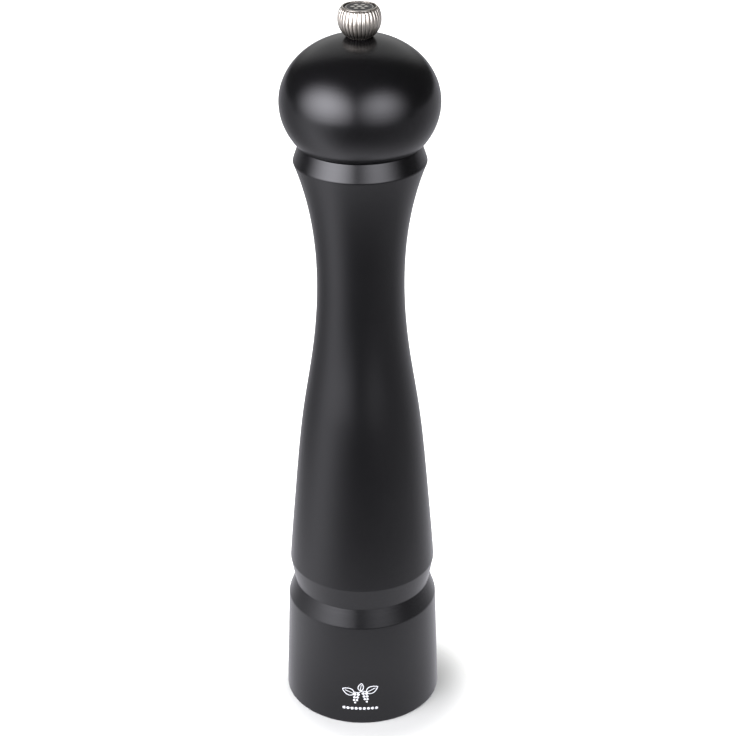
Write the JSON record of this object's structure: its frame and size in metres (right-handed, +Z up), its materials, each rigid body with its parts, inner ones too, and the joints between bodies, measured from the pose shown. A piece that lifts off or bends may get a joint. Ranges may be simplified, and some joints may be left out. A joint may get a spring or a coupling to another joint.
{
  "type": "pepper mill",
  "caption": "Tall turned-wood pepper mill: waisted black body, ball head that turns a square steel shaft, steel burrs under a spring, and a fluted knob that sets the grind.",
  "frame": {"origin": "centre of the foot, on the surface that the mill stands on", "axes": "+Z up along the shaft; -Y is the front, where the printed mark is"},
  "size_m": [0.0648, 0.0646, 0.2996],
  "materials": {
    "black_lacquered_beech": "satin black lacquer",
    "pressed_steel": "satin",
    "hardened_steel": "oiled dark",
    "spring_steel": "satin",
    "zinc_fasteners": "bright zinc",
    "drawn_steel": "drawn",
    "brass": "turned",
    "nylon": "matte",
    "polished_nickel": "polished",
    "dark_badge": "satin gunmetal"
  },
  "bodies": {
    "body": {"wooden_body": "black_lacquered_beech", "burr_housing": "pressed_steel", "outer_burr": "hardened_steel", "burr_retaining_ring": "spring_steel", "bridge_plate": "pressed_steel", "bridge_rivets": "zinc_fasteners", "shaft_bush": "brass", "housing_screws": "zinc_fasteners"},
    "spring_seat": {"upper_spring_seat": "zinc_fasteners", "burr_spring": "spring_steel"},
    "shaft": {"drive_shaft": "drawn_steel", "inner_burr": "hardened_steel", "lower_spring_seat": "zinc_fasteners", "burr_washer": "zinc_fasteners", "burr_nut": "zinc_fasteners"},
    "head": {"wooden_head": "black_lacquered_beech", "head_ferrule": "pressed_steel", "drive_plate": "pressed_steel", "drive_plate_screws": "zinc_fasteners", "glide_ring": "nylon"},
    "knob": {"grind_knob": "polished_nickel", "knob_badge": "dark_badge"}
  },
  "joints": [
    {"name": "head_turn", "type": "hinge", "parent": "body", "child": "spring_seat", "pos_m": [0, 0, 0.0333], "axis": [0, 0, 1], "continuous": true},
    {"name": "grind_adjust", "type": "slide", "parent": "spring_seat", "child": "shaft", "axis": [0, 0, 1], "range_m": [0, 0.0012], "deforming": ["burr_spring"]},
    {"name": "head_lift", "type": "slide", "parent": "spring_seat", "child": "head", "axis": [0, 0, 1], "range_m": [0, 0.08]},
    {"name": "knob_turn", "type": "hinge", "parent": "head", "child": "knob", "pos_m": [0, 0, 0.2942], "axis": [0, 0, 1], "range_deg": [-541, 0]}
  ],
  "couplings": [
    {"joint": "knob_turn", "follows": "grind_adjust", "rad_per_m": -7854}
  ]
}
